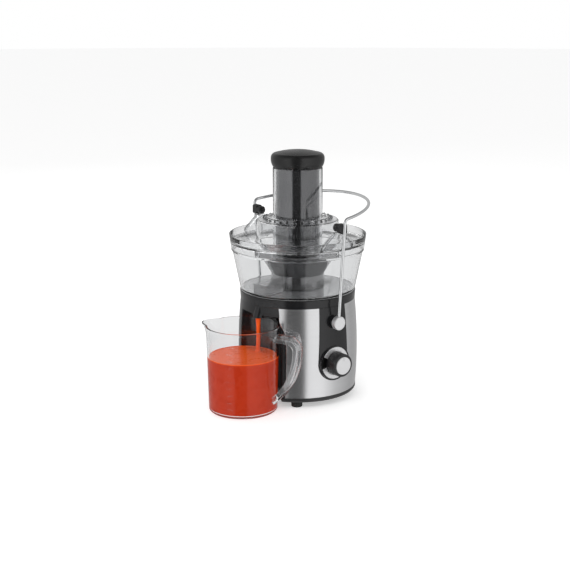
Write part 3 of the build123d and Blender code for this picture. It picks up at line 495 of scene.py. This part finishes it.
finishes["clear_plastic"] = clear_finish("clear_plastic", (0.93, 0.935, 0.94), 0.02)
finishes["jug_plastic"] = clear_finish("jug_plastic", (0.95, 0.955, 0.96), 0.02, refraction=1.3)
finishes["bead_plastic"] = clear_finish("bead_plastic", (0.28, 0.285, 0.29), 0.05)
finishes["smoky_plastic"] = solid_finish(
    "smoky_plastic", (0.15, 0.15, 0.155), 0.1,
    metallic=0.92, mottle=0.04, skin=60.0, bump=0.004,
)
finishes["collector_plastic"] = solid_finish(
    "collector_plastic", (0.24, 0.24, 0.245), 0.12,
    metallic=0.9, mottle=0.04, skin=60.0, bump=0.004,
)

# %% [markdown]
# ## Dressing the CAD pieces
# Most pieces keep their CAD shape. The record names a material slot for each, and the slot's name
# finds the finish. The finish goes on the object, so the CAD mesh stays as it came.

# %% Dress the nodes
def dress(piece, finish):
    for holder in piece.material_slots:
        holder.link = "OBJECT"
        holder.material = finish


slot_of = {part["node"]: part["material_slot"] for part in frame["record"]["subparts"]}
for name, piece in nodes.items():
    dress(piece, finishes[slot_of[name]])
dress(nodes["pusher_cap"], finishes["cap_plastic"])
dress(nodes["juice_collector"], finishes["collector_plastic"])


def second_colour(finish, colour, make_mask):
    """Paints a second colour where make_mask(tree) says, over what feeds the base colour."""
    painted = finish.copy()
    tree = painted.node_tree
    target = tree.nodes["Principled BSDF"].inputs["Base Color"]
    body = target.links[0].from_socket
    join(tree, mix_colours(tree, make_mask(tree), body, colour), target)
    return painted


def object_place(tree):
    place = add_node(tree, "ShaderNodeTexCoord")
    split = add_node(tree, "ShaderNodeSeparateXYZ")
    join(tree, place.outputs["Object"], split.inputs[0])
    return split


def step_between(tree, value, low, high):
    """1 where the value lies between low and high."""
    above = calculate(tree, "GREATER_THAN", value, low)
    below = calculate(tree, "LESS_THAN", value, high)
    return calculate(tree, "MULTIPLY", above, below)


# %% [markdown]
# ## Dial print and deck top
# The dial's ring is silver with a printed black stretch that marks where the knob is off. The
# print follows the angle about the ring's middle. The deck's top, which the bowl stands on, is a
# paler grey than its glossy black side.

# %% Dial print and deck top
dial_low, dial_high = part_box("dial_ring")
dial_middle = (dial_low + dial_high) / 2
off_angles = (math.radians(-14), math.radians(30))
tray_height, above_all = 0.1768, 0.2
ring_edges = ((0.0875, 0.0893), (0.0788, 0.0796))
print_black, tray_grey, ring_grey = ((tone, tone, tone) for tone in (0.01, 0.3, 0.05))


def off_stretch(tree):
    """The printed stretch, by its angle above the dial's left side."""
    place = object_place(tree)
    side = calculate(tree, "SUBTRACT", place.outputs["X"], dial_middle.x)
    height = calculate(tree, "SUBTRACT", place.outputs["Z"], dial_middle.z)
    left = calculate(tree, "MULTIPLY", side, -1)
    angle = calculate(tree, "ARCTAN2", height, left)
    return step_between(tree, angle, *off_angles)


def tray(tree):
    """The deck's top face, by its height."""
    return step_between(tree, object_place(tree).outputs["Z"], tray_height, above_all)


def tray_rings(tree):
    """Two narrow rings on the deck's top, by their distance from the rotor's axis."""
    flat = add_node(tree, "ShaderNodeVectorMath", operation="MULTIPLY")
    join(tree, add_node(tree, "ShaderNodeTexCoord").outputs["Object"], flat.inputs[0])
    flat.inputs[1].default_value = (1, 1, 0)
    reach = add_node(tree, "ShaderNodeVectorMath", operation="LENGTH")
    join(tree, flat.outputs["Vector"], reach.inputs[0])
    outer, inner = (step_between(tree, reach.outputs["Value"], *ring) for ring in ring_edges)
    return calculate(tree, "MULTIPLY", calculate(tree, "ADD", outer, inner), tray(tree))


dress(nodes["dial_ring"], second_colour(finishes["satin_silver"], print_black, off_stretch))
deck_finish = second_colour(finishes["black_gloss_plastic"], tray_grey, tray)
dress(nodes["top_deck"], second_colour(deck_finish, ring_grey, tray_rings))
print("dial middle", [round(v, 4) for v in dial_middle])
print("dressed:", len(slot_of))

# %% [markdown]
# ## Turned pieces
# The bowl, the lid and the jug are round, and their rims and corners are softly rounded, which is
# what catches the dark and bright lines of clear plastic. A closed half section with a radius at
# each corner is turned about an axis, with enough steps that no facet shows.

# %% Half sections and turning
mm = 0.001
turn_steps = 240


def round_corners(points, steps=6):
    """Corner points (radius, height, fillet) in millimetres become a smooth closed outline."""
    outline = []
    count = len(points)
    for i, (r, z, fillet) in enumerate(points):
        corner = Vector((r, z))
        back = Vector(points[i - 1][:2]) - corner
        ahead = Vector(points[(i + 1) % count][:2]) - corner
        if fillet <= 0 or back.length == 0 or ahead.length == 0:
            outline.append(corner)
            continue
        half = back.angle(ahead) / 2
        reach = min(fillet / math.tan(half), back.length * 0.48, ahead.length * 0.48)
        first = corner + back.normalized() * reach
        last = corner + ahead.normalized() * reach
        for k in range(steps + 1):
            t = k / steps
            outline.append(first * (1 - t) ** 2 + corner * 2 * t * (1 - t) + last * t ** 2)
    return outline


def new_piece(name, vertices, faces, finish, sharp=40):
    mesh = bpy.data.meshes.new(name)
    mesh.from_pydata(vertices, [], faces)
    shape = bmesh.new()
    shape.from_mesh(mesh)
    bmesh.ops.recalc_face_normals(shape, faces=shape.faces)
    shape.to_mesh(mesh)
    shape.free()
    mesh.polygons.foreach_set("use_smooth", [True] * len(mesh.polygons))
    mesh.set_sharp_from_angle(angle=math.radians(sharp))
    mesh.materials.append(finish)
    piece = bpy.data.objects.new(name, mesh)
    bpy.context.scene.collection.objects.link(piece)
    return piece


def turned(name, outline, finish, centre=(0.0, 0.0), pull=None, steps=turn_steps):
    """Turns an outline about an upright axis. pull(angle, radius, height) may add to the radius."""
    vertices, rings = [], []
    for r, z in outline:
        if r < 1e-6:
            vertices.append((centre[0] * mm, centre[1] * mm, z * mm))
            rings.append([len(vertices) - 1] * steps)
            continue
        ring = []
        for k in range(steps):
            angle = 2 * math.pi * k / steps
            out = r + (pull(angle, r, z) if pull else 0)
            x = centre[0] + out * math.cos(angle)
            y = centre[1] + out * math.sin(angle)
            ring.append(len(vertices))
            vertices.append((x * mm, y * mm, z * mm))
        rings.append(ring)
    faces = []
    for a, b in zip(rings, rings[1:] + rings[:1]):
        for k in range(steps):
            face = []
            for v in (a[k], a[(k + 1) % steps], b[(k + 1) % steps], b[k]):
                if v not in face:
                    face.append(v)
            if len(face) > 2:
                faces.append(face)
    return new_piece(name, vertices, faces, finish)


def stitch(faces, start, rows, steps):
    """Joins rows of points, each with the same number of steps, into a tube with closed ends."""
    for row in range(rows):
        a, b = start + row * steps, start + (row + 1) * steps
        for k in range(steps):
            n = (k + 1) % steps
            faces.append((a + k, a + n, b + n, b + k))
    faces.append(tuple(range(start, start + steps))[::-1])
    last = start + rows * steps
    faces.append(tuple(range(last, last + steps)))


# %% [markdown]
# ## Bowl, lid and feed tube
# The bowl's wall flares from its floor to a turned-out lip. The lid has a skirt, a dished ring and
# a raised plateau with a collar that the feed tube is bonded into. Their heights and radii come
# from the CAD pieces' boxes, so that they cannot drift from the frame.

# %% Bowl
clear = finishes["clear_plastic"]
bowl_low, bowl_high = (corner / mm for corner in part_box("pulp_bowl"))
lip_radius, bowl_base, bowl_rim = bowl_high.x, bowl_low.z, bowl_high.z
bowl = turned("bowl_shell", round_corners([
    (15.5, bowl_base, 0.4), (lip_radius - 16.2, bowl_base, 1.5),
    (lip_radius - 14.2, bowl_base + 3, 1.5), (lip_radius - 2, bowl_rim - 4, 0.6),
    (lip_radius, bowl_rim - 3, 0.5), (lip_radius, bowl_rim, 0.5),
    (lip_radius - 4.4, bowl_rim, 0.5), (lip_radius - 16.6, bowl_base + 3.9, 1.5),
    (lip_radius - 18.6, bowl_base + 2.9, 1.0), (15.5, bowl_base + 2.9, 0.4),
]), clear)
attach(bowl, "root")
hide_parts("pulp_bowl")
print("bowl rim at", round(bowl_rim, 2), "mm, radius", round(lip_radius, 2), "mm")

# %% Lid shell
tube_low, tube_high = (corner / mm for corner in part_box("feed_tube"))
tube_radius, tube_wall = 40.0, 2.5
lid_low, lid_high = (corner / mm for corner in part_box("lid"))
lid_rim, lid_edge, plateau = 268.0, lid_high.x, 291.0
lid = turned("lid_shell", round_corners([
    (lid_edge - 6.2, lid_low.z, 0.3), (lid_edge - 3, lid_low.z, 0.6), (lid_edge, lid_rim, 0.9),
    (lid_edge - 2.2, lid_rim, 0.6), (lid_edge - 5.5, 257, 2.5), (67.5, 255.5, 2.0),
    (66, plateau - 2, 1.2), (64, plateau, 1.2), (51, plateau + 1, 0.6), (51, plateau + 3, 0.5),
    (50, plateau + 4, 0.5), (46, plateau + 4, 0.5), (45, plateau + 3, 0.5),
    (tube_radius + 0.15, plateau + 3, 0.3), (tube_radius + 0.15, plateau - 1.4, 0.3),
    (63.6, plateau - 2.4, 1.5), (65, 253.2, 2.0), (lid_edge - 5, 254.6, 1.5),
]), clear)
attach(lid, "root")
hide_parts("lid")

# %% Feed tube
tube = turned("feed_tube_shell", round_corners([
    (tube_radius - tube_wall, tube_low.z, 0.8), (tube_radius, tube_low.z, 0.8),
    (tube_radius, tube_high.z, 1.0), (tube_radius - tube_wall, tube_high.z, 1.0),
]), clear)
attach(tube, "root")
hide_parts("feed_tube")
print("tube from", round(tube_low.z, 1), "to", round(tube_high.z, 1), "mm")

# %% [markdown]
# ## Beads, lugs and tabs of the lid
# A ring of small domes stands around the collar. The bail's rollers ride over two arched lugs,
# which are thin ribs in the shape of a T. Two tabs on the skirt lock the lid to the bowl.

# %% Beads
bead_count, bead_ring, bead_radius = 30, 54.5, 2.2
vertices, faces = [], []
dome = [(bead_radius, plateau + 0.2), (bead_radius, plateau + 1.6)]
dome += [
    (bead_radius * math.cos(t), plateau + 1.6 + 2.3 * math.sin(t))
    for t in (math.radians(d) for d in (20, 40, 60, 78))
]
bead_steps = 20
for bead in range(bead_count):
    turn_to = 2 * math.pi * bead / bead_count
    centre_x, centre_y = bead_ring * math.cos(turn_to), bead_ring * math.sin(turn_to)
    start = len(vertices)
    for r, z in dome:
        for k in range(bead_steps):
            a = 2 * math.pi * k / bead_steps
            vertices.append(
                ((centre_x + r * math.cos(a)) * mm, (centre_y + r * math.sin(a)) * mm, z * mm)
            )
    stitch(faces, start, len(dome) - 1, bead_steps)
beads = new_piece("lid_beads", vertices, faces, finishes["bead_plastic"])
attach(beads, "root")
print("beads:", bead_count)


# %% Lugs and tabs
def plate_from(name, outline, near, far, finish, bevel=0.4):
    """A flat plate in the XZ plane, between two distances along Y, in millimetres."""
    count = len(outline)
    vertices = [(x * mm, y * mm, z * mm) for y in (near, far) for x, z in outline]
    faces = [tuple(range(count)), tuple(range(count, 2 * count))[::-1]]
    faces += [(k, (k + 1) % count, count + (k + 1) % count, count + k) for k in range(count)]
    piece = new_piece(name, vertices, faces, finish)
    rounding = piece.modifiers.new("rounded_edges", "BEVEL")
    rounding.width = bevel * mm
    rounding.segments = 3
    return piece


lug_foot = 255.6
lug_outer = [(-33, lug_foot), (-33, 262), (-7, 284), (6, 284), (28, 264), (28, lug_foot)]
lug_inner = [
    (25.8, lug_foot), (25.8, 263), (5.2, 281.8), (-6.2, 281.8), (-30.8, 261), (-30.8, lug_foot),
]
lug_arch = lug_outer + lug_inner
for side, where in ((-1, "front"), (1, "rear")):
    flange = plate_from(f"lid_lug_{where}_flange", lug_arch, side * 99.2, side * 106.9, clear)
    web = plate_from(
        f"lid_lug_{where}_web", lug_outer, side * 101.7, side * 104.3, clear, bevel=0.3,
    )
    for piece in (flange, web):
        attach(piece, "root")
for place, angle in (("front", -90), ("left", 198)):
    a = math.radians(angle)
    out, along = Vector((math.cos(a), math.sin(a), 0)), Vector((-math.sin(a), math.cos(a), 0))
    corners = [
        (out * r + along * t + Vector((0, 0, z))) * mm
        for z in (246.1, 254.9) for r, t in ((106.8, -4), (111.2, -4), (111.2, 4), (106.8, 4))
    ]
    tab_faces = [(0, 3, 2, 1), (4, 5, 6, 7), (0, 1, 5, 4), (1, 2, 6, 5), (2, 3, 7, 6), (3, 0, 4, 7)]
    tab = new_piece(f"lid_tab_{place}", corners, tab_faces, clear)
    rounding = tab.modifiers.new("rounded_edges", "BEVEL")
    rounding.width, rounding.segments = 0.9 * mm, 4
    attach(tab, "root")

# %% [markdown]
# ## Jug
# The jug is a tapered clear beaker. Its pouring lip is the same wall, drawn outward near the rim,
# so we turn the section and let a smooth bump push the upper wall out towards the lip. The handle
# is a U-shaped channel that we sweep along its own line.

# %% Jug body
jug_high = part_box("jug")[1] / mm
spout_way, jug_distance = math.radians(190), 127
jug_x, jug_y = jug_distance * math.cos(spout_way), jug_distance * math.sin(spout_way)
outer_foot, inner_foot, flare = 54.5, 52.3, 2.8
inside_floor = 3.5
lip_way, lip_spread = math.radians(120), math.radians(27)
lip_start, lip_reach = 104.0, 11.6


def jug_outer(z):
    """The outer wall's radius at a height."""
    return outer_foot + flare * (z - 3) / 131


def jug_inner(z):
    """The inner wall's radius at a height."""
    return inner_foot + flare * (z - 5.5) / 132


def lip_pull(angle, radius, height):
    """How far the wall is drawn out towards the lip at this angle and height."""
    off = abs((angle - lip_way + math.pi) % (2 * math.pi) - math.pi) / lip_spread
    if off >= 1 or height <= lip_start or radius < 40:
        return 0.0
    rise = (height - lip_start) / (jug_high.z - lip_start)
    return lip_reach * rise ** 1.8 * math.cos(off * math.pi / 2) ** 1.6


upper_wall = [(jug_outer(z), z, 0) for z in range(104, 134, 3)]
inner_wall = [(jug_inner(z), z, 0) for z in range(133, 103, -3)]
jug = turned("jug_shell", round_corners(
    [(0, 0, 0), (51.5, 0, 2.5), (outer_foot, 3, 2.5)] + upper_wall
    + [(57.3, 134, 0.4), (58.19, 135, 0.5), (58.19, 138, 0.7), (55.1, 138, 0.7)] + inner_wall
    + [(inner_foot, 5.5, 2.0), (50.3, inside_floor, 2.0), (0, inside_floor, 0)]
), finishes["jug_plastic"], centre=(jug_x, jug_y), pull=lip_pull)
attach(jug, "jug")
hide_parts("jug")
print("jug stands at", round(jug_x, 1), round(jug_y, 1), "mm, height", round(jug_high.z, 1), "mm")


# %% Jug handle
def arc_between(start, way, end, steps):
    """Points of the circular arc that leaves start along way and reaches end, without start."""
    chord = end - start
    side = Vector((-way.y, way.x))
    centre = start + side * chord.length_squared / (2 * chord.dot(side))
    radius = (start - centre).length
    turn = 2 * way.angle_signed(chord)
    points = []
    for k in range(1, steps + 1):
        a = -turn * k / steps
        arm = start - centre
        points.append(centre + Vector((
            arm.x * math.cos(a) - arm.y * math.sin(a), arm.x * math.sin(a) + arm.y * math.cos(a),
        )))
    last_way = Vector((
        way.x * math.cos(-turn) - way.y * math.sin(-turn),
        way.x * math.sin(-turn) + way.y * math.cos(-turn),
    ))
    return points, last_way


grip = [Vector((56.4, 122)), Vector((78, 122))]
bend, way = arc_between(grip[-1], Vector((1, 0)), Vector((94, 106)), 14)
sweep_down, _ = arc_between(bend[-1], way, Vector((54.2, 21)), 40)
grip += bend + sweep_down
channel = [(5, 9), (-5, 9), (-5, 6.5), (1.9, 6.5), (1.9, -6.5), (-5, -6.5), (-5, -9), (5, -9)]
channel = [tuple(p) for p in round_corners([(a, b, 0.9) for a, b in channel], steps=4)]
grip_way = math.radians(-60)
outward = Vector((math.cos(grip_way), math.sin(grip_way), 0))
across = outward.cross(Vector((0, 0, 1)))
vertices, faces = [], []
for i, point in enumerate(grip):
    before, after = grip[max(i - 1, 0)], grip[min(i + 1, len(grip) - 1)]
    along = (after - before).normalized()
    normal = Vector((-along.y, along.x))
    for up, wide in channel:
        flat = point + normal * up
        place = (
            Vector((jug_x, jug_y, 0)) + outward * flat.x + Vector((0, 0, flat.y)) + across * wide
        )
        vertices.append(place * mm)
stitch(faces, 0, len(grip) - 1, len(channel))
handle = new_piece("jug_handle", vertices, faces, clear)
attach(handle, "jug")
print("handle reaches", round(max(p.x for p in grip), 1), "mm from the jug's axis")

# %% [markdown]
# ## Graduations
# A ladder of fine raised lines on the jug's side shows how full it is. Every fifth line is longer.

# %% Jug scale
vertices, faces = [], []
scale_way = math.radians(213)
line_count, line_spacing, columns = 10, 11.2, 8
line_section = ((-0.1, -0.35), (0.35, -0.3), (0.35, 0.3), (-0.1, 0.35))
for step in range(1, line_count + 1):
    height = 4 + step * line_spacing
    half = math.radians(9 if step % 5 == 0 else 5)
    skin_radius = jug_outer(height)
    start = len(vertices)
    for k in range(columns + 1):
        a = scale_way - half + 2 * half * k / columns
        for r, z in line_section:
            vertices.append((
                (jug_x + (skin_radius + r) * math.cos(a)) * mm,
                (jug_y + (skin_radius + r) * math.sin(a)) * mm, (height + z) * mm,
            ))
    stitch(faces, start, columns, len(line_section))
scale_marks = new_piece("jug_scale", vertices, faces, clear)
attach(scale_marks, "jug")

# %% [markdown]
# ## Carrot juice
# Juice is cloudy: light enters, scatters and comes out orange. A pulp-specked colour with some
# scattering below the surface gives that. Above a set height the colour is a brighter orange:
# partly the froth on top, partly painted light on the lit top surface, and the falling stream,
# which lies mostly above that height, takes it too. The filling reaches a hair into the jug's inner
# wall, so that no film of air is seen between the two, and its top has a thin raised meniscus.

# %% Juice finish
juice = bpy.data.materials.new("carrot_juice")
juice.use_nodes = True
tree = juice.node_tree
shader = tree.nodes["Principled BSDF"]
shader.inputs["Specular IOR Level"].default_value = 0.12
shader.inputs["Subsurface Weight"].default_value = 0.1
shader.inputs["Subsurface Radius"].default_value = (0.01, 0.003, 0.001)
shader.inputs["Subsurface Scale"].default_value = 1.0
pulp = place_group(tree, moulded_skin, Scale=900.0, Cloud=45.0)
body = mix_colours(tree, pulp.outputs["Mottle"], (0.43, 0.02, 0.0025), (0.52, 0.03, 0.0035))
specks = wander(tree, pulp.outputs["Height"], 0.0, 0.35)
body = mix_colours(tree, specks, body, (0.62, 0.06, 0.008))
# Froth and painted light: above this height the juice is painted a brighter orange, for the froth
# and for the light on its top surface.
froth_and_top_light_height = 0.0875
froth_and_top_light = step_between(tree, object_place(tree).outputs["Z"], froth_and_top_light_height, 1.0)
body = mix_colours(tree, froth_and_top_light, body, (0.9, 0.11, 0.012))
join(tree, body, shader.inputs["Base Color"])
join(tree, wander(tree, pulp.outputs["Mottle"], 0.22, 0.38), shader.inputs["Roughness"])
raise_bump(tree, shader, pulp.outputs["Height"], 0.12, 0.0004)

# %% Juice in the jug
juice_level, overlap = 88.0, 0.15
level_radius = jug_inner(juice_level) + overlap
filling = turned("carrot_juice", round_corners([
    (0, inside_floor - overlap, 0), (50.1, inside_floor - overlap, 2.0),
    (inner_foot + overlap, 5.7, 2.0),
    (level_radius + 0.02, juice_level + 0.9, 0.15), (level_radius - 0.5, juice_level + 0.7, 0.3),
    (level_radius - 2.2, juice_level, 1.0), (0, juice_level, 0),
]), juice, centre=(jug_x, jug_y))
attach(filling, "jug")
print("juice level", juice_level, "mm")

# %% [markdown]
# ## Falling juice
# A thin stream falls from the nozzle's mouth. It swells and thins unevenly as falling juice does.

# %% Juice stream
random.seed(7)
nozzle_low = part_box("spout_nozzle")[0] / mm
mouth_out = 91.0
mouth_x, mouth_y = mouth_out * math.cos(spout_way), mouth_out * math.sin(spout_way)
stream_top, stream_end = nozzle_low.z + 6, juice_level - 1.5
rows, stream_steps, splash_rows = 46, 24, 5
nozzle_lean = 13 / 36
vertices, faces = [], []
for row in range(rows + 1):
    t = row / rows
    z = stream_top + (stream_end - stream_top) * t
    lean = nozzle_lean * max(0.0, z - nozzle_low.z)
    drift = 2.0 * t
    thick = 4.4 - 1.5 * t ** 0.5 + 0.35 * math.sin(9 * t + 1) + random.uniform(-0.12, 0.12)
    if row > rows - splash_rows:
        thick += 0.9 * (row - rows + splash_rows) ** 1.3 / 2
    cx = mouth_x - (lean - drift) * math.cos(spout_way)
    cy = mouth_y - (lean - drift) * math.sin(spout_way)
    for k in range(stream_steps):
        a = 2 * math.pi * k / stream_steps
        wave = 1 + 0.1 * math.sin(3 * a + 5 * t)
        vertices.append((
            (cx + thick * wave * math.cos(a)) * mm, (cy + thick * wave * math.sin(a)) * mm, z * mm,
        ))
stitch(faces, 0, rows, stream_steps)
stream = new_piece("juice_stream", vertices, faces, juice)
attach(stream, "root")
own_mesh(stream)
print("stream falls", round(stream_top - stream_end, 1), "mm")
